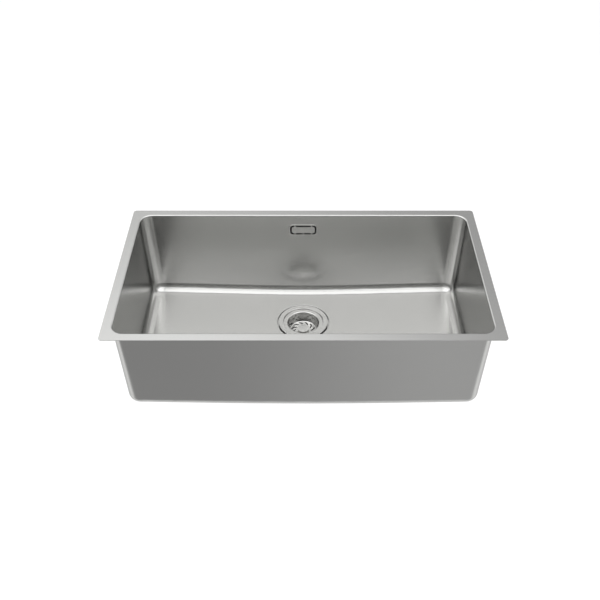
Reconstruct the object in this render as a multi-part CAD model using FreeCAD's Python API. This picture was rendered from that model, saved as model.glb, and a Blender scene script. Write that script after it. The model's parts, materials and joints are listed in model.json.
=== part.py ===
"""Undermount kitchen sink: one pressed steel bowl with its flange, a basket strainer waste and an overflow.

Millimetres. The origin is the centre of the bowl opening on the flange's top face, which is clamped
up against the underside of a worktop. +X runs to the right, +Y to the rear wall that holds the
overflow, +Z up. Every sub-part is written to parts/NODE.step.
"""

import FreeCAD, Part  # noqa: E401,I001  FreeCAD comes first
import math
import os

Vector = FreeCAD.Vector
UP = Vector(0, 0, 1)
RIGHT = Vector(1, 0, 0)
REAR = Vector(0, 1, 0)

# Bowl, pressed from one sheet. Lengths and widths are inside, at the top.
bowl_length = 740.0
bowl_width = 400.0
bowl_depth = 221.0  # flange face down to the floor at the drain
sheet = 1.0
wall_draft = 2.0  # degrees that each wall leans in
corner_radius = 25.0
floor_radius = 20.0  # between wall and floor
floor_fall = 2.0  # degrees that the floor falls to the drain from all sides
rim_radius = 2.5  # the rolled edge between wall and flange
flange_width = 20.0
flange_corner_radius = 7.0

# Drain recess in the floor
drain_from_back = 117.0  # drain centre to the rear wall's top edge
recess_groove = 3.0  # round the cup's flange
recess_lip_radius = 0.8
pocket_gap = 0.6  # between the cup's pocket and the recess
drain_hole_gap = 3.0  # round the cup

# Waste cup, pressed steel, dropped into the recess
cup_sheet = 1.0
cup_flange_rise = 2.2  # its top stands this much above the floor
cup_flange_width = 10.7  # outside the pocket that the basket's rim lies in
cup_room = 3.5  # between the basket's wall and the cup
cup_taper = 4.0  # how far the wall draws in down to the ledge
sump_depth = 6.0
sump_hole_radius = 6.5
sump_hole_circle = 16.0
sump_hole_count = 6
cup_bend_radius = 2.0

# Basket, pressed steel, lifts out of the cup
basket_sheet = 0.8
basket_mouth_radius = 36.7
basket_taper = 5.5  # how far the wall draws in down to the floor
basket_depth = 25.0
basket_drop = 3.6  # its rim's top lies this much under the cup's flange
basket_seat_width = 3.8  # rim outside the cup's wall
basket_gap = 1.0  # round the rim
seat_gap = 0.2  # under the rim
basket_lip_radius = 2.6
basket_heel_radius = 2.4
slot_count = 12
slot_width = 3.4
slot_reach = 8.4  # between the circles that its two ends are centred on
slot_twist = 21.0  # degrees that a slot turns on its way in
slot_bow = 1.6  # how far a slot's middle bows sideways
slot_phase = -8.0  # degrees from the rear to the middle of one slot
hole_clusters = 6
hole_radius = 1.7
hole_spread = 6.2  # half a cluster's width
hole_rise = 5.6  # half a cluster's height
hole_depth = 11.5  # rim down to a cluster's middle

# Knob, post and stopper under the basket
knob_radius = 14.0
knob_height = 8.8
knob_crown = 1.3
knob_neck_radius = 6.0
knob_brim = 2.2
post_radius = 4.0
post_stud_radius = 2.5
post_collar_radius = 7.0
post_collar_length = 2.3
post_groove_depth = 0.6
clip_wire_radius = 0.6
clip_gap_angle = 50.0
stopper_margin = 2.0  # between the stopper and the bend of the cup's ledge
stopper_lap = 7.0  # how far it covers the ledge round the sump
stopper_seal_thickness = 2.5
stopper_lip = 4.0  # seal outside the plate
stopper_plate_thickness = 3.0
running_gap = 0.2  # stopper bore round the post
seal_gap = 0.3  # stopper over the cup's ledge

# Waste body under the sink, moulded plastic
flange_seal_gap = 0.6  # round the cup's pocket
floor_seal_thickness = 3.0
floor_seal_inset = 1.5  # from the edge of the bowl's drain hole
body_wall = 3.0
body_room = 5.0  # between the cup and the body
body_flange_inset = 2.2  # inside the recess
body_flange_thickness = 4.0
body_below_cup = 5.4
body_cone_height = 14.0
outlet_radius = 23.9  # outside of the outlet's pipe thread
outlet_bore_radius = 20.5
outlet_length = 26.0
hub_radius = 8.0
hub_length = 16.0
hub_rib_thickness = 3.0
hub_ribs = 4
insert_radius = 5.0
screw_radius = 3.0
screw_clearance = 0.05
screw_head_radius = 7.5
screw_head_height = 5.7
screw_socket_radius = 5.2
screw_socket_depth = 4.5

# Overflow in the rear wall
overflow_drop = 39.5  # flange face down to its centre
opening_length = 61.0
opening_height = 24.5
opening_radius = 7.5
cover_margin = 2.5  # the cover's frame outside the opening
cover_thickness = 0.6
cover_slot = 4.0
cover_plate_radius = 4.0
cover_bridge_width = 3.4
cover_bridge_offset = 19.0
stud_radius = 2.0
stud_offset = 20.0
stud_clearance = 0.2
stud_end = 2.5
nut_flats = 7.0
nut_height = 3.2
gasket_thickness = 2.0
housing_margin = 7.5  # its flange outside the opening
housing_flange = 3.0
housing_wall = 3.0
housing_cover = 1.5  # its back lies this much behind the spigot

# Overflow pipe, moulded stiff, with a union at each end
nozzle_radius = 13.0
nozzle_bore_radius = 10.2
nozzle_length = 17.0
inlet_over_shoulder = 2.0
washer_thickness = 2.0
pipe_radius = 12.0
pipe_bore_radius = 10.0
pipe_collar = 0.8  # how far the collar at each end stands out
pipe_collar_length = 2.0
pipe_straight = 20.0  # run between the bend and the waste body
union_radius = 16.8
union_wall_gap = 1.5  # between the nut and the back of the bowl
union_length = 17.0
union_lip = 3.0
union_gap = 0.2
union_grips = 12
union_grip_radius = 1.6

# Sound pads under the floor
pad_thickness = 3.0
pad_length = 210.0
pad_width = 240.0
pad_radius = 20.0

# Places that follow from the sizes
lean = math.tan(math.radians(wall_draft))
floor_z = -bowl_depth
slope = math.tan(math.radians(floor_fall))
drain_y = bowl_width / 2 - drain_from_back
drain = Vector(0, drain_y, 0)

# Radii of the waste, from the basket outwards
basket_floor_radius = basket_mouth_radius - basket_taper
slot_outer_circle = basket_floor_radius - basket_heel_radius - slot_width / 2
slot_inner_circle = slot_outer_circle - slot_reach
cup_top_radius = basket_mouth_radius + basket_sheet + cup_room + cup_sheet
cup_bottom_radius = cup_top_radius - cup_taper
basket_rim_radius = cup_top_radius + basket_seat_width
pocket_radius = basket_rim_radius + basket_gap
cup_flange_radius = pocket_radius + cup_flange_width
recess_radius = cup_flange_radius + recess_groove
drain_hole_radius = cup_top_radius + drain_hole_gap
body_radius = cup_top_radius + body_room + body_wall
body_flange_radius = recess_radius - body_flange_inset
stopper_radius = cup_bottom_radius - cup_sheet - cup_bend_radius - stopper_margin
stopper_plate_radius = stopper_radius - stopper_lip
sump_radius = stopper_radius - stopper_lap

# Heights of the floor's tip, which the drain cuts away, and of the waste, from the top downwards
floor_tip_z = floor_z - recess_radius * slope
cup_top_z = floor_z + cup_flange_rise
basket_top_z = cup_top_z - basket_drop
pocket_z = basket_top_z - basket_sheet - seat_gap
seat_z = pocket_z - cup_sheet - pocket_gap
under_z = seat_z - sheet
basket_floor_z = basket_top_z - basket_depth
basket_under_z = basket_floor_z - basket_sheet
collar_z = basket_under_z - post_collar_length
stopper_top_z = collar_z - seal_gap
stopper_plate_z = stopper_top_z - stopper_plate_thickness
stopper_z = stopper_plate_z - stopper_seal_thickness
ledge_z = stopper_z - seal_gap
sump_z = ledge_z - sump_depth
sump_under_z = sump_z - cup_sheet
screw_head_z = sump_z + screw_head_height
socket_z = screw_head_z - screw_socket_depth
post_foot_z = socket_z + seal_gap
clip_z = post_foot_z + 2 * clip_wire_radius
body_top_z = under_z - floor_seal_thickness
shoulder_z = sump_under_z - body_below_cup
cone_z = shoulder_z - body_cone_height
outlet_z = cone_z - outlet_length
hub_top_z = sump_under_z - seal_gap
hub_foot_z = hub_top_z - hub_length
inlet_z = shoulder_z + nozzle_radius + inlet_over_shoulder
inlet_end_y = drain_y + body_radius + nozzle_length

# The overflow's own frame: its Y leaves the bowl square to the rear wall, its Z climbs the wall.
wall_y = bowl_width / 2 - overflow_drop * lean
overflow_frame = FreeCAD.Placement(
    Vector(0, wall_y, -overflow_drop), FreeCAD.Rotation(RIGHT, -wall_draft)
)
gasket_y = sheet
housing_y = gasket_y + gasket_thickness
spigot_y = sheet + union_wall_gap + union_radius
housing_back_y = spigot_y + nozzle_radius + housing_cover
housing_half_height = opening_height / 2 + housing_wall
spigot_end_z = -housing_half_height - nozzle_length

# A pad lies midway between the drain recess and the end of the flat floor.
floor_end_x = bowl_length / 2 + floor_z * lean - floor_radius
pad_middle_x = (recess_radius + floor_end_x) / 2


def cylinder(radius, low, high, centre=drain):
    """Upright cylinder between two heights."""
    return Part.makeCylinder(radius, high - low, Vector(centre.x, centre.y, low))


def ring(inner, outer, low, high, centre=drain):
    """Upright cylinder with a bore."""
    return cylinder(outer, low, high, centre).cut(cylinder(inner, low, high, centre))


def turned(outline, centre=drain):
    """Solid of revolution from an outline of (radius, height) points."""
    points = [Vector(centre.x + r, centre.y, z) for r, z in outline]
    face = Part.Face(Part.makePolygon(points + points[:1]))
    return face.revolve(centre, UP, 360)


def circle_edges(solid, radius, height, tolerance=0.01):
    """Full or part circles of one radius at one height, for a fillet."""
    return [
        edge
        for edge in solid.Edges
        if not edge.Degenerated
        and isinstance(edge.Curve, Part.Circle)
        and abs(edge.Curve.Radius - radius) < tolerance
        and abs(edge.Curve.Center.z - height) < tolerance
    ]


def rounded(solid, bends):
    """Fillets circular edges, given as (edge radius, height, fillet radius)."""
    for radius, height, fillet in bends:
        solid = solid.makeFillet(fillet, circle_edges(solid, radius, height))
    return solid


def rounded_plate(length, width, radius, low, high, centre=Vector()):
    """Flat plate with round corners, between two heights."""
    plate = Part.makeBox(
        length, width, high - low, centre + Vector(-length / 2, -width / 2, low)
    )
    upright = [e for e in plate.Edges if abs(e.tangentAt(e.FirstParameter).z) > 0.9]
    return plate.makeFillet(radius, upright)


def wall_plate(length, height, radius, near, far):
    """Plate with round corners in the overflow's frame, from near to far along its Y."""
    plate = rounded_plate(length, height, radius, -far, -near)
    plate.rotate(Vector(), RIGHT, 90)
    return plate


def on_wall(shape):
    """Carries a shape from the overflow's frame to the rear wall."""
    return shape.transformGeometry(overflow_frame.toMatrix())


def cylinder_along(radius, start, direction, length):
    return Part.makeCylinder(radius, length, start, direction)


# --- bowl ---------------------------------------------------------------------------------------


def floor_block(grow):
    """Everything above the floor, a wide shallow cone whose tip lies under the drain."""
    tip_z = floor_tip_z - grow / math.cos(math.radians(floor_fall))
    reach = bowl_length
    return turned(
        [
            (0, tip_z),
            (reach, tip_z + reach * slope),
            (reach, flange_width),
            (0, flange_width),
        ]
    )


def bowl_block(grow, top):
    """The bowl's solid form: leaning walls, round upright corners, falling floor, round foot."""
    low = floor_z - 2 * floor_radius

    def outline(z):
        half_length = bowl_length / 2 + grow + z * lean
        half_width = bowl_width / 2 + grow + z * lean
        corners = [(-1, -1), (1, -1), (1, 1), (-1, 1), (-1, -1)]
        return Part.makePolygon(
            [Vector(sx * half_length, sy * half_width, z) for sx, sy in corners]
        )

    block = Part.makeLoft([outline(low), outline(top)], True, True)
    upright = [e for e in block.Edges if abs(e.tangentAt(e.FirstParameter).z) > 0.9]
    block = block.makeFillet(corner_radius + grow, upright).common(floor_block(grow))
    floor = next(f for f in block.Faces if isinstance(f.Surface, Part.Cone))
    foot = [e for e in floor.Edges if len(block.ancestorsOfType(e, Part.Face)) == 2]
    return block.makeFillet(floor_radius + grow, foot)


def rim_edges(solid, height, inset):
    """The edges at one height that follow the bowl's mouth, no further out than inset allows."""
    box_x = bowl_length / 2 + inset
    box_y = bowl_width / 2 + inset
    return [
        e
        for e in solid.Edges
        if abs(e.BoundBox.ZMin - height) < 1e-4
        and abs(e.BoundBox.ZMax - height) < 1e-4
        and max(abs(e.BoundBox.XMin), abs(e.BoundBox.XMax)) < box_x
        and max(abs(e.BoundBox.YMin), abs(e.BoundBox.YMax)) < box_y
    ]


def make_bowl():
    flange = rounded_plate(
        bowl_length + 2 * flange_width,
        bowl_width + 2 * flange_width,
        flange_corner_radius,
        -sheet,
        0,
    )
    bowl = bowl_block(sheet, 0).fuse(flange).removeSplitter()
    inset = flange_width / 2
    bowl = bowl.makeFillet(rim_radius - sheet, rim_edges(bowl, -sheet, inset))
    bowl = bowl.fuse(cylinder(recess_radius + sheet, under_z, floor_z))
    inside = bowl_block(0, rim_radius)
    bowl = bowl.cut(inside).cut(cylinder(recess_radius, seat_z, floor_z + sheet))
    bowl = bowl.cut(cylinder(drain_hole_radius, under_z - sheet, floor_z))
    bowl = bowl.makeFillet(rim_radius, rim_edges(bowl, 0, inset))
    lip = [
        e
        for e in bowl.Edges
        if abs(e.BoundBox.XMax - recess_radius) < 0.01
        and abs(e.BoundBox.ZMin - floor_z) < sheet / 2
    ]
    bowl = bowl.makeFillet(recess_lip_radius, lip)
    window = wall_plate(
        opening_length, opening_height, opening_radius, -2 * sheet, 3 * sheet
    )
    return bowl.cut(on_wall(window))


def make_pad(side):
    """A rubber pad stuck under the floor, left or right of the drain; it follows the floor's fall."""
    blank = rounded_plate(
        pad_length,
        pad_width,
        pad_radius,
        floor_z - sheet - 2 * pad_thickness,
        floor_z + bowl_length / 2 * slope,
        Vector(side * pad_middle_x, 0, 0),
    )
    return blank.common(floor_block(sheet + pad_thickness)).cut(floor_block(sheet))


# --- waste under the drain ----------------------------------------------------------------------


def make_waste_cup():
    """Pressed cup whose flange lies in the recess, with a pocket for the basket's rim and a sump."""
    t = cup_sheet
    cup = turned(
        [
            (cup_flange_radius, cup_top_z - t),
            (cup_flange_radius, cup_top_z),
            (pocket_radius, cup_top_z),
            (pocket_radius, pocket_z),
            (cup_top_radius - t, pocket_z),
            (cup_bottom_radius - t, ledge_z),
            (sump_radius, ledge_z),
            (sump_radius, sump_z),
            (screw_radius + screw_clearance, sump_z),
            (screw_radius + screw_clearance, sump_under_z),
            (sump_radius + t, sump_under_z),
            (sump_radius + t, ledge_z - t),
            (cup_bottom_radius, ledge_z - t),
            (cup_top_radius, pocket_z - t),
            (pocket_radius + t, pocket_z - t),
            (pocket_radius + t, cup_top_z - t),
        ]
    )
    cup = rounded(
        cup,
        [
            (cup_top_radius - t, pocket_z, cup_bend_radius),
            (cup_top_radius, pocket_z - t, cup_bend_radius - t / 2),
            (cup_bottom_radius - t, ledge_z, cup_bend_radius),
            (cup_bottom_radius, ledge_z - t, cup_bend_radius + t),
            (cup_flange_radius, cup_top_z, 0.8 * t),
            (pocket_radius, cup_top_z, 0.4 * t),
        ],
    )
    for i in range(sump_hole_count):
        hole = cylinder(
            sump_hole_radius,
            sump_under_z - t,
            ledge_z,
            drain + Vector(0, sump_hole_circle, 0),
        )
        hole.rotate(drain, UP, 360 * i / sump_hole_count)
        cup = cup.cut(hole)
    return cup


def make_flange_seal():
    inner = pocket_radius + cup_sheet + flange_seal_gap
    outer = cup_flange_radius - cup_sheet
    return ring(inner, outer, seat_z, cup_top_z - cup_sheet)


def make_floor_seal():
    inner = drain_hole_radius + floor_seal_inset
    return ring(inner, body_flange_radius, body_top_z, under_z)


def chamber_block(grow):
    """The room inside the waste body: a drum round the cup, a cone and the outlet's bore."""
    drum = body_radius - body_wall + grow
    bore = outlet_bore_radius + grow
    return turned(
        [
            (0, body_top_z),
            (drum, body_top_z),
            (drum, shoulder_z - grow),
            (bore, cone_z - grow),
            (bore, outlet_z),
            (0, outlet_z),
        ]
    )


def make_waste_body():
    """Moulded body clamped up under the floor: a chamber round the cup, an outlet and an inlet."""
    shell = turned(
        [
            (0, body_top_z),
            (body_flange_radius, body_top_z),
            (body_flange_radius, body_top_z - body_flange_thickness),
            (body_radius, body_top_z - body_flange_thickness),
            (body_radius, shoulder_z - body_wall),
            (outlet_radius, cone_z - body_wall),
            (outlet_radius, outlet_z),
            (0, outlet_z),
        ]
    )
    shell = rounded(
        shell,
        [
            (body_radius, shoulder_z - body_wall, body_wall),
            (body_radius, body_top_z - body_flange_thickness, body_wall / 2),
        ],
    )
    nozzle_start = Vector(0, drain_y + body_radius - 2 * body_wall, inlet_z)
    nozzle_run = nozzle_length + 2 * body_wall
    shell = shell.fuse(cylinder_along(nozzle_radius, nozzle_start, REAR, nozzle_run))
    body = shell.cut(chamber_block(0))
    body = body.cut(cylinder_along(nozzle_bore_radius, nozzle_start, REAR, nozzle_run))
    web = cylinder(hub_radius, hub_foot_z, hub_top_z)
    for i in range(hub_ribs):
        rib = Part.makeBox(
            hub_rib_thickness,
            body_radius,
            shoulder_z - hub_foot_z,
            drain + Vector(-hub_rib_thickness / 2, 0, hub_foot_z),
        )
        rib.rotate(drain, UP, 360 * (i + 0.5) / hub_ribs)
        web = web.fuse(rib.common(chamber_block(body_wall / 2)))
    body = body.fuse(web)
    return body.cut(cylinder(insert_radius, hub_foot_z, hub_top_z)).removeSplitter()


def make_hub_insert():
    return ring(screw_radius + screw_clearance, insert_radius, hub_foot_z, hub_top_z)


def make_centre_screw():
    """Screw that pulls the cup and the waste body together; its head is a socket for the post."""
    screw = cylinder(screw_head_radius, sump_z, screw_head_z)
    screw = screw.makeChamfer(
        0.8, circle_edges(screw, screw_head_radius, screw_head_z)
    )
    screw = screw.fuse(cylinder(screw_radius, hub_foot_z - stud_end, sump_z))
    return screw.cut(cylinder(screw_socket_radius, socket_z, screw_head_z))


# --- basket and stopper -------------------------------------------------------------------------


def swirl_slot(index):
    """One curved slot in the basket's floor: a bowed band with round ends, cut right through."""
    start = math.radians(slot_phase - slot_twist / 2 + 360 * index / slot_count)
    end = start + math.radians(slot_twist)

    def place(radius, angle):
        return Vector(radius * math.sin(angle), radius * math.cos(angle), 0)

    outer = place(slot_outer_circle, start)
    inner = place(slot_inner_circle, end)
    along = (inner - outer).normalize()
    across = UP.cross(along)
    middle = (outer + inner) / 2 + across * slot_bow
    half = across * (slot_width / 2)
    tip = along * (slot_width / 2)
    edges = [
        Part.Arc(outer + half, middle + half, inner + half).toShape(),
        Part.Arc(inner + half, inner + tip, inner - half).toShape(),
        Part.Arc(inner - half, middle - half, outer - half).toShape(),
        Part.Arc(outer - half, outer - tip, outer + half).toShape(),
    ]
    slot = Part.Face(Part.Wire(edges)).extrude(UP * (4 * basket_sheet))
    slot.translate(drain + Vector(0, 0, basket_under_z - basket_sheet))
    return slot


def make_basket():
    t = basket_sheet
    basket = turned(
        [
            (basket_rim_radius, basket_top_z - t),
            (basket_rim_radius, basket_top_z),
            (basket_mouth_radius, basket_top_z),
            (basket_floor_radius, basket_floor_z),
            (post_stud_radius, basket_floor_z),
            (post_stud_radius, basket_under_z),
            (basket_floor_radius + t, basket_under_z),
            (basket_mouth_radius + t, basket_top_z - t),
        ]
    )
    basket = rounded(
        basket,
        [
            (basket_mouth_radius + t, basket_top_z - t, basket_lip_radius - t),
            (basket_mouth_radius, basket_top_z, basket_lip_radius),
            (basket_floor_radius, basket_floor_z, basket_heel_radius),
            (basket_floor_radius + t, basket_under_z, basket_heel_radius + t),
            (basket_rim_radius, basket_top_z, 0.5 * t),
        ],
    )
    for i in range(slot_count):
        basket = basket.cut(swirl_slot(i))
    wall_radius = (basket_mouth_radius + basket_floor_radius) / 2
    swing = math.degrees(hole_spread / wall_radius)
    diamond = [(0, hole_rise), (0, -hole_rise), (swing, 0), (-swing, 0)]
    for i in range(hole_clusters):
        cluster_angle = 360 * (i + 0.5) / hole_clusters
        for turn, rise in diamond:
            height = basket_top_z - hole_depth + rise
            hole = Part.makeCylinder(
                hole_radius,
                basket_mouth_radius,
                drain + Vector(0, basket_floor_radius / 2, height),
                REAR,
            )
            hole.rotate(drain, UP, cluster_angle + turn)
            basket = basket.cut(hole)
    return basket


def make_knob():
    """Mushroom knob with a crowned top, standing on the basket's floor."""
    top = basket_floor_z + knob_height
    brim_z = top - knob_brim
    crown_radius = (knob_radius**2 + knob_crown**2) / (2 * knob_crown)
    knob = turned(
        [
            (post_stud_radius, basket_floor_z),
            (knob_neck_radius, basket_floor_z),
            (knob_neck_radius, brim_z),
            (knob_radius, brim_z),
            (knob_radius, top),
            (0, top),
            (0, brim_z),
            (post_stud_radius, brim_z),
        ]
    )
    ball = Part.makeSphere(crown_radius, drain + Vector(0, 0, top - crown_radius))
    knob = knob.common(ball)
    brim = circle_edges(knob, knob_radius, top - knob_crown, 0.05)
    return knob.makeFillet(0.35 * (knob_brim - knob_crown), brim)


def make_post():
    """Stem of the basket, with a collar over the stopper and a groove for the spring clip."""
    brim_z = basket_floor_z + knob_height - knob_brim
    groove = post_radius - post_groove_depth
    return turned(
        [
            (0, post_foot_z),
            (groove, post_foot_z),
            (post_radius, post_foot_z + clip_wire_radius / 2),
            (groove, clip_z - clip_wire_radius),
            (groove, clip_z + clip_wire_radius),
            (post_radius, clip_z + 1.5 * clip_wire_radius),
            (post_radius, collar_z),
            (post_collar_radius, collar_z),
            (post_collar_radius, basket_under_z),
            (post_stud_radius, basket_under_z),
            (post_stud_radius, brim_z),
            (0, brim_z),
        ]
    )


def make_post_clip():
    """Open spring ring in the post's groove, which grips the socket of the centre screw."""
    clip_radius = post_radius - post_groove_depth + clip_wire_radius + running_gap
    wire = Part.Wire(
        Part.makeCircle(
            clip_wire_radius, drain + Vector(clip_radius, 0, clip_z), REAR
        )
    )
    clip = Part.Face(wire).revolve(drain, UP, 360 - clip_gap_angle)
    clip.rotate(drain, UP, clip_gap_angle / 2)
    return clip


def make_stopper_seal():
    return ring(post_radius + running_gap, stopper_radius, stopper_z, stopper_plate_z)


def make_stopper_plate():
    plate = ring(
        post_radius + running_gap, stopper_plate_radius, stopper_plate_z, stopper_top_z
    )
    return plate.makeFillet(
        0.4 * stopper_plate_thickness,
        circle_edges(plate, stopper_plate_radius, stopper_top_z),
    )


# --- overflow -----------------------------------------------------------------------------------


def stud_places():
    return [Vector(side * stud_offset, 0, 0) for side in (-1, 1)]


def make_overflow_cover():
    """Stamped cover: a frame, a centre plate hung in it by bridges, and two studs to the rear."""
    length = opening_length + 2 * cover_margin
    height = opening_height + 2 * cover_margin
    cover = wall_plate(
        length, height, opening_radius + cover_margin, -cover_thickness, 0
    )
    front = [
        e
        for e in cover.Edges
        if abs(e.BoundBox.YMin + cover_thickness) < 1e-4
        and abs(e.BoundBox.YMax + cover_thickness) < 1e-4
    ]
    cover = cover.makeFillet(0.6 * cover_thickness, front)
    gap = wall_plate(
        opening_length, opening_height, opening_radius, -2 * cover_thickness, sheet
    )
    plate = wall_plate(
        opening_length - 2 * cover_slot,
        opening_height - 2 * cover_slot,
        cover_plate_radius,
        -2 * cover_thickness,
        sheet,
    )
    gap = gap.cut(plate)
    half = opening_height / 2
    bridges = [(side * cover_bridge_offset, up) for side in (-1, 1) for up in (-1, 1)]
    for x, up in bridges + [(0, -1)]:
        bridge = Part.makeBox(
            cover_bridge_width,
            4 * cover_thickness,
            half,
            Vector(
                x - cover_bridge_width / 2, -2 * cover_thickness, min(up * half, 0)
            ),
        )
        gap = gap.cut(bridge)
    cover = cover.cut(gap)
    stud_length = housing_back_y + nut_height + stud_end
    for place in stud_places():
        cover = cover.fuse(cylinder_along(stud_radius, place, REAR, stud_length))
    return on_wall(cover.removeSplitter())


def make_overflow_gasket():
    outer = wall_plate(
        opening_length + 2 * housing_margin,
        opening_height + 2 * housing_margin,
        opening_radius + housing_margin,
        gasket_y,
        housing_y,
    )
    hole = wall_plate(
        opening_length, opening_height, opening_radius, gasket_y, housing_y
    )
    return on_wall(outer.cut(hole))


def make_overflow_housing():
    """Moulded box behind the wall, open to the slots, with a spigot that points down the wall."""
    housing = wall_plate(
        opening_length + 2 * housing_margin,
        opening_height + 2 * housing_margin,
        opening_radius + housing_margin,
        housing_y,
        housing_y + housing_flange,
    )
    box = wall_plate(
        opening_length + 2 * housing_wall,
        2 * housing_half_height,
        opening_radius + housing_wall,
        housing_y,
        housing_back_y,
    )
    back = [
        e
        for e in box.Edges
        if abs(e.BoundBox.YMin - housing_back_y) < 1e-4
        and abs(e.BoundBox.YMax - housing_back_y) < 1e-4
    ]
    box = box.makeFillet(0.8 * housing_wall, back)
    spigot_top = Vector(0, spigot_y, 0)
    down = Vector(0, 0, -1)
    spigot = cylinder_along(nozzle_radius, spigot_top, down, -spigot_end_z)
    housing = housing.fuse(box).fuse(spigot)
    cavity = wall_plate(
        opening_length,
        opening_height,
        opening_radius,
        housing_y,
        housing_back_y - housing_wall,
    )
    housing = housing.cut(cavity)
    housing = housing.cut(
        cylinder_along(nozzle_bore_radius, spigot_top, down, -spigot_end_z)
    )
    for place in stud_places():
        hole = cylinder_along(stud_radius + stud_clearance, place, REAR, housing_back_y)
        housing = housing.cut(hole)
    return on_wall(housing.removeSplitter())


def make_overflow_nuts():
    """Two hex nuts behind the housing, one on each stud of the cover."""
    nuts = []
    for place in stud_places():
        corner = nut_flats / math.sqrt(3)
        hexagon = [
            place
            + Vector(
                corner * math.cos(math.radians(60 * i)),
                housing_back_y,
                corner * math.sin(math.radians(60 * i)),
            )
            for i in range(7)
        ]
        nut = Part.Face(Part.makePolygon(hexagon)).extrude(REAR * nut_height)
        bore = cylinder_along(
            stud_radius + screw_clearance, place, REAR, housing_back_y + nut_height
        )
        nuts.append(nut.cut(bore))
    return on_wall(Part.makeCompound(nuts))


# --- overflow pipe ------------------------------------------------------------------------------


def union_places():
    """Tip and direction of the spigot at the top and of the inlet at the bottom."""
    down = overflow_frame.Rotation.multVec(Vector(0, 0, -1))
    top = overflow_frame.multVec(Vector(0, spigot_y, spigot_end_z))
    return (top, down), (Vector(0, inlet_end_y, inlet_z), REAR)


def pipe_route():
    """The pipe runs down the wall, turns under the sink in one arc and meets the inlet squarely.

    Returns the two ends, the arc's first and last points, its centre and the angle it turns.
    """
    (top, down), (foot, rear) = union_places()
    start = top + down * washer_thickness
    end = foot + rear * washer_thickness
    corner = start + down * ((end.z - start.z) / down.z)
    turn = math.degrees(down.getAngle(rear * -1))
    tangent = (corner - end).Length - pipe_straight
    bend = tangent / math.tan(math.radians(turn / 2))
    first = corner - down * tangent
    last = corner + rear * -tangent
    return start, first, last, end, last + UP * bend, turn


def pipe_core(radius):
    """Solid rod of one radius along the pipe's route."""
    start, first, last, end, centre, turn = pipe_route()
    down = (first - start).normalize()
    forward = (end - last).normalize()
    disc = Part.Face(Part.Wire(Part.makeCircle(radius, first, down)))
    elbow = disc.revolve(centre, RIGHT * -1, turn)
    upper = cylinder_along(radius, start, down, (first - start).Length)
    lower = cylinder_along(radius, last, forward, (end - last).Length)
    return upper.fuse(elbow).fuse(lower)


def make_overflow_pipe():
    """Stiff pipe with a bend and a collar at each end."""
    start, first, last, end, centre, turn = pipe_route()
    pipe = pipe_core(pipe_radius)
    for tip, inner in ((start, first), (end, last)):
        direction = (inner - tip).normalize()
        pipe = pipe.fuse(
            cylinder_along(
                pipe_radius + pipe_collar, tip, direction, pipe_collar_length
            )
        )
    return pipe.cut(pipe_core(pipe_bore_radius)).removeSplitter()


def union_nut(tip, direction):
    """Union nut: screwed on a nozzle, its lip holds the pipe's collar. tip is the nozzle's end."""
    lip_start = washer_thickness + pipe_collar_length + union_gap
    length = lip_start + union_lip
    base = tip - direction * (union_length - length)
    nut = cylinder_along(union_radius, base, direction, union_length)
    nut = nut.makeFillet(
        1.2,
        [
            e
            for e in nut.Edges
            if isinstance(e.Curve, Part.Circle) and e.Curve.Radius == union_radius
        ],
    )
    thread_run = union_length - union_lip
    nut = nut.cut(
        cylinder_along(nozzle_radius + union_gap, base, direction, thread_run)
    )
    nut = nut.cut(
        cylinder_along(pipe_radius + union_gap, base, direction, union_length)
    )
    side = RIGHT * union_radius
    for i in range(union_grips):
        spin = FreeCAD.Rotation(direction, 360 * i / union_grips)
        groove = cylinder_along(
            union_grip_radius, base + spin.multVec(side), direction, union_length
        )
        nut = nut.cut(groove)
    return nut


def union_washer(tip, direction):
    outer = cylinder_along(
        pipe_radius + pipe_collar, tip, direction, washer_thickness
    )
    return outer.cut(
        cylinder_along(nozzle_bore_radius, tip, direction, washer_thickness)
    )


def main():
    upper, lower = union_places()
    nodes = {
        "bowl": make_bowl(),
        "sound_pad_left": make_pad(-1),
        "sound_pad_right": make_pad(1),
        "waste_cup": make_waste_cup(),
        "flange_seal": make_flange_seal(),
        "floor_seal": make_floor_seal(),
        "waste_body": make_waste_body(),
        "hub_insert": make_hub_insert(),
        "centre_screw": make_centre_screw(),
        "basket": make_basket(),
        "basket_knob": make_knob(),
        "basket_post": make_post(),
        "post_clip": make_post_clip(),
        "stopper_seal": make_stopper_seal(),
        "stopper_plate": make_stopper_plate(),
        "overflow_cover": make_overflow_cover(),
        "overflow_gasket": make_overflow_gasket(),
        "overflow_housing": make_overflow_housing(),
        "overflow_nuts": make_overflow_nuts(),
        "overflow_pipe": make_overflow_pipe(),
        "union_nut_top": union_nut(*upper),
        "union_nut_bottom": union_nut(*lower),
        "union_washer_top": union_washer(*upper),
        "union_washer_bottom": union_washer(*lower),
    }
    os.makedirs("parts", exist_ok=True)
    for name, shape in nodes.items():
        shape.exportStep(os.path.join("parts", name + ".step"))
        print(
            f"{name:20s} solids {len(shape.Solids)} valid {shape.isValid()} "
            f"volume {shape.Volume:.0f}"
        )


main()
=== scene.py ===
"""Looks of an undermount kitchen sink: brushed steel, plastic, rubber and brass in a pale studio.

Metres. The origin is the centre of the bowl's mouth on the flange's top face; +X runs right, +Y to
the rear wall with the overflow, +Z up. The sink hangs as high over the floor as a worktop is.
The scale of a noise is about how many of its grains a metre holds.
"""

import json
import math

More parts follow.
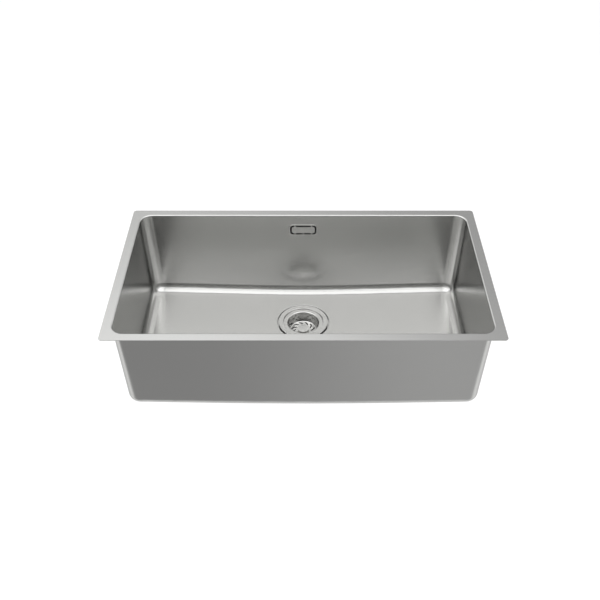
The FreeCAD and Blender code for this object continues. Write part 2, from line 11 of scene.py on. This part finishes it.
import bpy
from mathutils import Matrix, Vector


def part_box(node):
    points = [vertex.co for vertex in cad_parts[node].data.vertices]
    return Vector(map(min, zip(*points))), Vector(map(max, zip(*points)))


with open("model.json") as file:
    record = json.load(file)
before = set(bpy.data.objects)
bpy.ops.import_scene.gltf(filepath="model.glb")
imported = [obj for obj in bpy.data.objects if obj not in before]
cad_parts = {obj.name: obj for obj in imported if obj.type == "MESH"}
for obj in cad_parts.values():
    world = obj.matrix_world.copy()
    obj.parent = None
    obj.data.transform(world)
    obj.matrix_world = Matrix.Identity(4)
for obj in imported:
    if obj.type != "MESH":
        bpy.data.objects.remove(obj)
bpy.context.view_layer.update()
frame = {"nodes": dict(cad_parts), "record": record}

cup_low, cup_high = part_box("waste_cup")
DRAIN_Y = (cup_low[1] + cup_high[1]) / 2
OUTLET_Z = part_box("waste_body")[0][2]
COVER_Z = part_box("overflow_cover")[0][2]

STEEL_DARK = (0.618, 0.618, 0.607)
STEEL_LIGHT = (0.650, 0.650, 0.639)
STEEL_ROUGHNESS = 0.22
STEEL_RELIEF = 0.0000013
STEEL_EDGE = {"Specular Tint": (0.5, 0.5, 0.5, 1.0)}  # at a glancing angle
END_WALL_FACE = (0.55, 0.85)  # sideways share of a face's direction, where an end wall begins
LEVEL_FACE = (0.93, 0.995)  # upward share of a face's direction, where a level face begins
RUBBED_HIGHLIGHT_EDGE = (-0.0035, -0.0008)  # heights between which the worn edge with its painted highlight begins

BRIGHT_DARK = (0.60, 0.60, 0.590)
BRIGHT_LIGHT = (0.80, 0.80, 0.786)
BRIGHT_ROUGHNESS = 0.2
BRIGHT_RELIEF = 0.000004
COVER_MARGIN = (0.02, 0.01)  # under the overflow's cover, where its finish begins

PLAIN_DARK = (0.47, 0.47, 0.47)
PLAIN_LIGHT = (0.62, 0.62, 0.61)
PLAIN_ROUGHNESS = 0.3
PLAIN_RELIEF = 0.000012

BRASS_YELLOW = (0.74, 0.58, 0.30)
BRASS_BROWN = (0.52, 0.37, 0.19)
BRASS_ROUGHNESS = 0.24
BRASS_RELIEF = 0.00001

PLASTIC_BLACK_DARK = (0.028, 0.028, 0.030)
PLASTIC_BLACK_LIGHT = (0.062, 0.062, 0.064)
PLASTIC_GREY_DARK = (0.19, 0.19, 0.195)
PLASTIC_GREY_LIGHT = (0.25, 0.25, 0.255)
PLASTIC_ROUGHNESS = 0.42
PLASTIC_GRAIN = 0.06  # of the thread's depth
PLASTIC_SHINE = {"Specular IOR Level": 0.5}

THREAD_RADIUS = 0.0239
THREAD_INNER_MARGIN = 0.0003  # the thread is full up to this far from its radius
THREAD_OUTER_MARGIN = 0.0007  # and gone from here
THREAD_PITCH = 0.00231
THREAD_LENGTH = 0.0215
THREAD_RUNOUT = 0.002
THREAD_DEPTH = 0.0009
WHOLE_TURNS = 400.0  # added so that the thread's wave counts from above 0; they don't shift it

BLACK_RUBBER_DARK = (0.022, 0.022, 0.022)
BLACK_RUBBER_BLOOM = (0.060, 0.059, 0.057)
BLACK_RUBBER_ROUGHNESS = 0.62
BLACK_RUBBER_RELIEF = 0.00006
BLACK_RUBBER_SHINE = {"Specular IOR Level": 0.35}

GREY_RUBBER_DARK = (0.095, 0.096, 0.100)
GREY_RUBBER_LIGHT = (0.145, 0.146, 0.150)
GREY_RUBBER_ROUGHNESS = 0.66
GREY_RUBBER_SHINE = {"Specular IOR Level": 0.4}
DIMPLE_PITCH = 0.00425
DIMPLE_DEPTH = 0.0003

FLOOR_Z = -0.9  # the room's floor under the worktop
FLOOR_REACH = 300.0  # from the middle to each side
FLOOR_WHITE = 0.75
FLOOR_FRONT_SHADE = 0.20  # painted shade: tone in front of the sink, at the left
FLOOR_SHADE_LIFT = 0.11  # added to it at the right, where the painted shade is lighter
FLOOR_SHADE_LIFT_X = (-0.4, 0.5)  # between which it is added
FLOOR_SHADE_Y = (-0.25, -0.60)  # between which the white turns into the front's painted shade
FLOOR_FAR = 0.34
FLOOR_FAR_DISTANCE = (5.0, 12.0)  # between which the floor turns into the far tone
FLOOR_GLOW = 0.42

AMBIENT = 0.46
PATCH_REACH = 34.0  # degrees from a patch's middle to its end
# degrees to the right of the rear, degrees up, brightness
PATCHES = (
    (-60.0, 15.0, 0.8),
    (60.0, 15.0, 0.9),
    (-100.0, 15.0, 0.6),
    (-100.0, 50.0, 0.7),
    (100.0, 50.0, 0.6),
    (-150.0, 35.0, 0.3),
    (150.0, 35.0, 0.4),
    (-25.0, 40.0, 0.3),
    (-20.0, 65.0, 0.75),
)
BOX_WIDTH = 3.4
BOX_HEIGHT = 1.6
TOP_BOX_Y = -0.4
TOP_BOX_LENGTH = 1.5
TOP_BOX_RADIANCE = 1.05
FRONT_BOX_Y = -1.75
FRONT_BOX_LENGTH = 0.6
FRONT_BOX_RADIANCE = 1.0

CAMERA_PLACE = (0.0, -1.353, 1.0505)
CAMERA_TILT = 50.0  # degrees up from straight down
CAMERA_LENS = 48.9  # millimetres
CAMERA_SENSOR = 36.0  # millimetres
CAMERA_SHIFT = -0.00545  # of the picture's width


# --- node trees ---------------------------------------------------------------------------------


class Value:
    """One output of a node. Sums, products and the like of values add the Math nodes for them."""

    def __init__(self, board, socket):
        self.board = board
        self.socket = socket

    def out(self, name):
        """Another output of the same node."""
        return Value(self.board, self.socket.node.outputs[name])

    def maths(self, operation, *values):
        return self.board.node(
            "ShaderNodeMath", {"operation": operation}, dict(enumerate(values))
        )

    def __add__(self, other):
        return self.maths("ADD", self, other)

    def __radd__(self, other):
        return self.maths("ADD", other, self)

    def __sub__(self, other):
        return self.maths("SUBTRACT", self, other)

    def __rsub__(self, other):
        return self.maths("SUBTRACT", other, self)

    def __mul__(self, other):
        return self.maths("MULTIPLY", self, other)

    def __rmul__(self, other):
        return self.maths("MULTIPLY", other, self)

    def __truediv__(self, other):
        return self.maths("DIVIDE", self, other)

    def __abs__(self):
        return self.maths("ABSOLUTE", self)

    def power(self, exponent):
        return self.maths("POWER", self, exponent)

    def sine(self):
        return self.maths("SINE", self)

    def turn_from(self, x):
        """Turn from the X axis to the point (x, self), where 1 is once round."""
        return self.maths("ARCTAN2", self, x) / (2 * math.pi)

    def there_and_back(self, top):
        """Triangle wave that rises from 0 to top and falls to 0 again."""
        return self.maths("PINGPONG", self, top)

    def step(self, low, high):
        """0 below low, 1 above high, smooth between; falls instead where low is the larger."""
        return self.board.node(
            "ShaderNodeMapRange",
            {"interpolation_type": "SMOOTHSTEP"},
            {"Value": self, "From Min": low, "From Max": high},
        )

    def swing(self, width):
        """Swings by width round 0 while the value goes from 0 to 1."""
        return width * (self - 0.5)


def length(x, y):
    """Length of the level vector (x, y)."""
    return (x.power(2) + y.power(2)).power(0.5)


class Board:
    """A node tree, and the one way in which a node is added to it."""

    def __init__(self, tree):
        self.tree = tree
        tree.nodes.clear()

    def node(self, kind, settings=None, inputs=None, output=0):
        made = self.tree.nodes.new(kind)
        for name, value in (settings or {}).items():
            setattr(made, name, value)
        for name, value in (inputs or {}).items():
            if isinstance(value, Value):
                self.tree.links.new(value.socket, made.inputs[name])
            else:
                made.inputs[name].default_value = value
        return Value(self, made.outputs[output]) if made.outputs else made

    def place(self, output="Object"):
        return self.node("ShaderNodeTexCoord", output=output)

    def parts(self, vector):
        """The three numbers of a vector."""
        split = self.node("ShaderNodeSeparateXYZ", inputs={0: vector})
        return split, split.out("Y"), split.out("Z")

    def scaled(self, vector, x, y, z):
        return self.node(
            "ShaderNodeVectorMath", {"operation": "MULTIPLY"}, {0: vector, 1: (x, y, z)}
        )

    def vector(self, x, y, z):
        return self.node("ShaderNodeCombineXYZ", inputs={0: x, 1: y, 2: z})

    def noise(self, vector, scale=1.0, detail=2.0, roughness=0.5):
        return self.node(
            "ShaderNodeTexNoise",
            inputs={
                "Vector": vector,
                "Scale": scale,
                "Detail": detail,
                "Roughness": roughness,
            },
        )

    def between(self, share, first, second):
        """Mix of two colours; first and second are three numbers each."""
        return self.node(
            "ShaderNodeMix",
            {"data_type": "RGBA"},
            {"Factor": share, 6: (*first, 1.0), 7: (*second, 1.0)},
            output=2,
        )


def blend(share, first, second):
    """Mix of two numbers."""
    return first + (second - first) * share


def finish_board(name):
    """A new material and its board."""
    material = bpy.data.materials.new(name)
    material.use_nodes = True
    return material, Board(material.node_tree)


def finish_shader(board, colour, roughness, height, relief, metallic=0.0, constants=None):
    """Principled shader with a bump. relief is the bump's depth where height goes from 0 to 1."""
    inputs = {"Base Color": colour, "Roughness": roughness, "Metallic": metallic}
    inputs.update(constants or {})
    inputs["Normal"] = board.node(
        "ShaderNodeBump",
        inputs={"Strength": 1.0, "Distance": relief, "Height": height},
    )
    shader = board.node("ShaderNodeBsdfPrincipled", inputs=inputs)
    board.node("ShaderNodeOutputMaterial", inputs={"Surface": shader})


# --- finishes -----------------------------------------------------------------------------------


def satin_steel():
    """Pressed sheet, finely brushed along each wall.

    The brushing is noise drawn out 100 times along the wall: along X on the floor, flange and long
    walls, along Y on the two end walls. A slower cloud shifts tone and gloss a little. The rolled
    edge at the mouth and the flange's cut edge are painted lighter as a highlight line, and worn
    duller.
    """
    material, board = finish_board("satin_steel")
    place = board.place()
    z = board.parts(place)[2]
    face_x, face_y, face_z = board.parts(board.place("Normal"))
    end_wall = abs(face_x).step(*END_WALL_FACE)
    along_x = board.noise(board.scaled(place, 16, 1600, 1600), detail=3)
    along_y = board.noise(board.scaled(place, 1600, 16, 1600), detail=3)
    hair = blend(end_wall, along_x, along_y)
    long_x = board.noise(board.scaled(place, 4, 300, 300))
    long_y = board.noise(board.scaled(place, 300, 4, 300))
    streak = blend(end_wall, long_x, long_y)
    cloud = board.noise(place, scale=6, detail=3)
    # painted highlight: the rolled edge and the flange's cut edge are painted lighter, and worn
    # duller
    rubbed_and_highlight = z.step(*RUBBED_HIGHLIGHT_EDGE) * (1 - abs(face_z).step(*LEVEL_FACE))
    tone = 0.3 * streak + 0.3 * cloud + 0.4 * hair + 0.2 * rubbed_and_highlight
    colour = board.between(tone.step(0.2, 0.9), STEEL_DARK, STEEL_LIGHT)
    gloss = streak.swing(0.02) + hair.swing(0.04) + cloud.swing(0.02) + 0.05 * rubbed_and_highlight
    roughness = STEEL_ROUGHNESS + gloss
    finish_shader(board, colour, roughness, hair, STEEL_RELIEF, 1.0, STEEL_EDGE)
    return material


def bright_steel():
    """Finely ground steel of the waste and the overflow's cover.

    Round the drain the grinding runs in circles: noise of the distance from the drain's axis. On the
    cover in the rear wall it runs along X.
    """
    material, board = finish_board("bright_steel")
    place = board.place()
    x, y, z = board.parts(place)
    radius = length(x, y - DRAIN_Y)
    circles = board.noise(board.vector(radius * 2200, x * 18, (y + z) * 18))
    lines = board.noise(board.scaled(place, 20, 1800, 1800))
    on_cover = z.step(COVER_Z - COVER_MARGIN[0], COVER_Z - COVER_MARGIN[1])
    hair = blend(on_cover, circles, lines)
    cloud = board.noise(place, scale=60, detail=3)
    tone = 0.6 * hair + 0.4 * cloud
    share = 0.6 * tone.step(0.25, 0.8) + 0.4 * on_cover
    colour = board.between(share, BRIGHT_DARK, BRIGHT_LIGHT)
    roughness = BRIGHT_ROUGHNESS + hair.swing(0.05) + cloud.swing(0.05)
    finish_shader(board, colour, roughness, hair, BRIGHT_RELIEF, 1.0, STEEL_EDGE)
    return material


def plain_steel():
    """Turned screw, post and clip: fine rings along the post's axis and a duller, uneven gloss."""
    material, board = finish_board("plain_steel")
    place = board.place()
    rings = board.noise(board.scaled(place, 30, 30, 3500))
    cloud = board.noise(place, scale=220, detail=3)
    tone = 0.5 * rings + 0.5 * cloud
    colour = board.between(tone.step(0.3, 0.7), PLAIN_DARK, PLAIN_LIGHT)
    roughness = PLAIN_ROUGHNESS + rings.swing(0.12) + cloud.swing(0.12)
    finish_shader(board, colour, roughness, rings, PLAIN_RELIEF, 1.0)
    return material


def brass():
    """Turned brass: yellow metal with fine rings, browner in patches where it has dulled."""
    material, board = finish_board("brass")
    place = board.place()
    rings = board.noise(board.scaled(place, 40, 40, 3000))
    dulled = board.noise(place, scale=180, detail=4, roughness=0.6)
    colour = board.between(dulled.step(0.42, 0.62), BRASS_YELLOW, BRASS_BROWN)
    roughness = BRASS_ROUGHNESS + 0.2 * dulled.step(0.4, 0.65) + rings.swing(0.06)
    finish_shader(board, colour, roughness, rings, BRASS_RELIEF, 1.0)
    return material


def pipe_thread(place, board):
    """Height of the outlet's pipe thread, from 0 to 1; 0 off the outlet.

    It is a triangle wave of the height over the pitch plus the turn round the drain's axis, so it
    climbs one pitch in each turn.
    """
    x, y, z = board.parts(place)
    from_drain = y - DRAIN_Y
    turns = z / THREAD_PITCH + from_drain.turn_from(x) + WHOLE_TURNS
    wave = turns.there_and_back(0.5)
    radius = length(x, from_drain)
    thread_top = OUTLET_Z + THREAD_LENGTH
    on_outlet = (
        z.step(thread_top + THREAD_RUNOUT, thread_top)
        * radius.step(THREAD_RADIUS - THREAD_OUTER_MARGIN, THREAD_RADIUS - THREAD_INNER_MARGIN)
        * radius.step(THREAD_RADIUS + THREAD_OUTER_MARGIN, THREAD_RADIUS + THREAD_INNER_MARGIN)
    )
    return 2.0 * wave * on_outlet


def moulded_plastic(name, dark, light):
    """Moulded plastic with a fine spark-eroded grain, scuffs, and the outlet's pipe thread."""
    material, board = finish_board(name)
    place = board.place()
    grain = board.noise(place, scale=2600)
    scuff = board.noise(board.scaled(place, 90, 300, 120), detail=4, roughness=0.65)
    cloud = board.noise(place, scale=28, detail=3)
    worn = scuff.step(0.62, 0.78)
    tone = 0.5 * worn + 0.5 * cloud
    colour = board.between(tone.step(0.15, 0.8), dark, light)
    roughness = PLASTIC_ROUGHNESS + grain.swing(0.1) + 0.16 * worn + cloud.swing(0.06)
    height = PLASTIC_GRAIN * grain + pipe_thread(place, board)
    finish_shader(board, colour, roughness, height, THREAD_DEPTH, constants=PLASTIC_SHINE)
    return material


def black_rubber():
    """Moulded black rubber, dull, with a faint bloom in patches."""
    material, board = finish_board("black_rubber")
    place = board.place()
    grain = board.noise(place, scale=1900, detail=3)
    bloom = board.noise(place, scale=55, detail=4, roughness=0.6)
    colour = board.between(bloom.step(0.4, 0.75), BLACK_RUBBER_DARK, BLACK_RUBBER_BLOOM)
    roughness = BLACK_RUBBER_ROUGHNESS + bloom.swing(0.2) + grain.swing(0.1)
    finish_shader(
        board, colour, roughness, grain, BLACK_RUBBER_RELIEF, constants=BLACK_RUBBER_SHINE
    )
    return material


def grey_rubber():
    """Pressed sheet of a sound pad, with a fine grain.

    Diamond-shaped dimples are sunk in it on a square grid: the product of two waves that cross,
    one along x + y and one along x - y.
    """
    material, board = finish_board("grey_rubber")
    place = board.place()
    x, y, z = board.parts(place)
    beat = math.pi / DIMPLE_PITCH
    crossing = (beat * (x + y)).sine() * (beat * (x - y)).sine()
    dimples = crossing.step(0.1, 0.8)
    grain = board.noise(place, scale=1400, detail=3)
    cloud = board.noise(place, scale=16, detail=4)
    tone = 0.6 * cloud + 0.4 * grain
    colour = board.between(tone.step(0.3, 0.7), GREY_RUBBER_DARK, GREY_RUBBER_LIGHT)
    roughness = GREY_RUBBER_ROUGHNESS + cloud.swing(0.12) - 0.06 * dimples
    height = 0.25 * grain - dimples
    finish_shader(board, colour, roughness, height, DIMPLE_DEPTH, constants=GREY_RUBBER_SHINE)
    return material


finishes = {
    "steel_satin": satin_steel(),
    "steel_bright": bright_steel(),
    "steel_plain": plain_steel(),
    "brass_insert": brass(),
    "plastic_black": moulded_plastic("black_plastic", PLASTIC_BLACK_DARK, PLASTIC_BLACK_LIGHT),
    "plastic_grey": moulded_plastic("grey_plastic", PLASTIC_GREY_DARK, PLASTIC_GREY_LIGHT),
    "rubber_black": black_rubber(),
    "rubber_grey": grey_rubber(),
}

for subpart in frame["record"]["subparts"]:
    node = frame["nodes"][subpart["node"]]
    for material_slot in node.material_slots:
        material_slot.material = finishes[subpart["material_slot"]]


# --- room, light and camera ---------------------------------------------------------------------


def floor_shader(board):
    """White round the sink, with painted shade in front of it; greyer far away, where the floor
    meets the sky.

    The floor glows a little for the camera and in mirrors, but its glow lights no dull surface.
    From below it is clear.
    """
    x, y, z = board.parts(board.place())
    # painted shade on the floor in front of the sink, darker at the left
    front = FLOOR_FRONT_SHADE + FLOOR_SHADE_LIFT * x.step(*FLOOR_SHADE_LIFT_X)
    near = blend(y.step(*FLOOR_SHADE_Y), FLOOR_WHITE, front)
    tone = blend(length(x, y).step(*FLOOR_FAR_DISTANCE), near, FLOOR_FAR)
    colour = board.vector(tone, tone, tone)
    diffuse = board.node("ShaderNodeBsdfDiffuse", inputs={"Color": colour})
    rays = board.node("ShaderNodeLightPath", output="Is Camera Ray")
    seen = rays + rays.out("Is Glossy Ray") + rays.out("Is Transmission Ray")
    glow = board.node(
        "ShaderNodeEmission", inputs={"Color": colour, "Strength": FLOOR_GLOW * seen}
    )
    both = board.node("ShaderNodeAddShader", inputs={0: diffuse, 1: glow})
    clear = board.node("ShaderNodeBsdfTransparent")
    back = board.node("ShaderNodeNewGeometry", output="Backfacing")
    shader = board.node("ShaderNodeMixShader", inputs={0: back, 1: both, 2: clear})
    board.node("ShaderNodeOutputMaterial", inputs={"Surface": shader})


def room_floor():
    """Square of pale floor."""
    mesh = bpy.data.meshes.new("room_floor")
    signs = ((-1, -1), (1, -1), (1, 1), (-1, 1))
    corners = [(FLOOR_REACH * x, FLOOR_REACH * y, FLOOR_Z) for x, y in signs]
    mesh.from_pydata(corners, [], [(0, 1, 2, 3)])
    floor = bpy.data.objects.new("room_floor", mesh)
    bpy.context.scene.collection.objects.link(floor)
    material, board = finish_board("white_floor")
    floor_shader(board)
    mesh.materials.append(material)


def room_light():
    """Soft light from all round: an even glow and soft patches.

    Each patch is a smooth step of the cosine of the angle to its middle.
    """
    world = bpy.data.worlds.new("studio")
    bpy.context.scene.world = world
    world.use_nodes = True
    board = Board(world.node_tree)
    direction = board.place("Generated")
    patch_end = math.cos(math.radians(PATCH_REACH))
    strength = AMBIENT
    for turn, height, glow in PATCHES:
        across = math.radians(turn)
        rise = math.radians(height)
        middle = (
            math.sin(across) * math.cos(rise),
            math.cos(across) * math.cos(rise),
            math.sin(rise),
        )
        cosine = board.node(
            "ShaderNodeVectorMath",
            {"operation": "DOT_PRODUCT"},
            {0: direction, 1: middle},
            output="Value",
        )
        strength = glow * cosine.step(patch_end, 1.0) + strength
    background = board.node(
        "ShaderNodeBackground", inputs={"Color": (1.0, 1.0, 1.0, 1.0), "Strength": strength}
    )
    board.node("ShaderNodeOutputWorld", inputs={"Surface": background})


def soft_box(name, y, depth, radiance):
    """Soft box that hangs level over the sink, depth long from front to rear.

    radiance is its brightness, where 1 renders as white.
    """
    data = bpy.data.lights.new(name, "AREA")
    data.shape = "RECTANGLE"
    data.size = BOX_WIDTH
    data.size_y = depth
    data.energy = radiance * math.pi * BOX_WIDTH * depth
    lamp = bpy.data.objects.new(name, data)
    bpy.context.scene.collection.objects.link(lamp)
    lamp.location = (0.0, y, BOX_HEIGHT)
    lamp.visible_camera = False


def photo_camera():
    data = bpy.data.cameras.new("camera")
    data.lens = CAMERA_LENS
    data.sensor_width = CAMERA_SENSOR
    data.shift_x = CAMERA_SHIFT
    camera = bpy.data.objects.new("camera", data)
    bpy.context.scene.collection.objects.link(camera)
    camera.location = CAMERA_PLACE
    camera.rotation_euler = (math.radians(CAMERA_TILT), 0.0, 0.0)
    bpy.context.scene.camera = camera


room_floor()
room_light()
soft_box("top_box", TOP_BOX_Y, TOP_BOX_LENGTH, TOP_BOX_RADIANCE)
soft_box("front_box", FRONT_BOX_Y, FRONT_BOX_LENGTH, FRONT_BOX_RADIANCE)
photo_camera()
bpy.context.scene.view_settings.view_transform = "Standard"
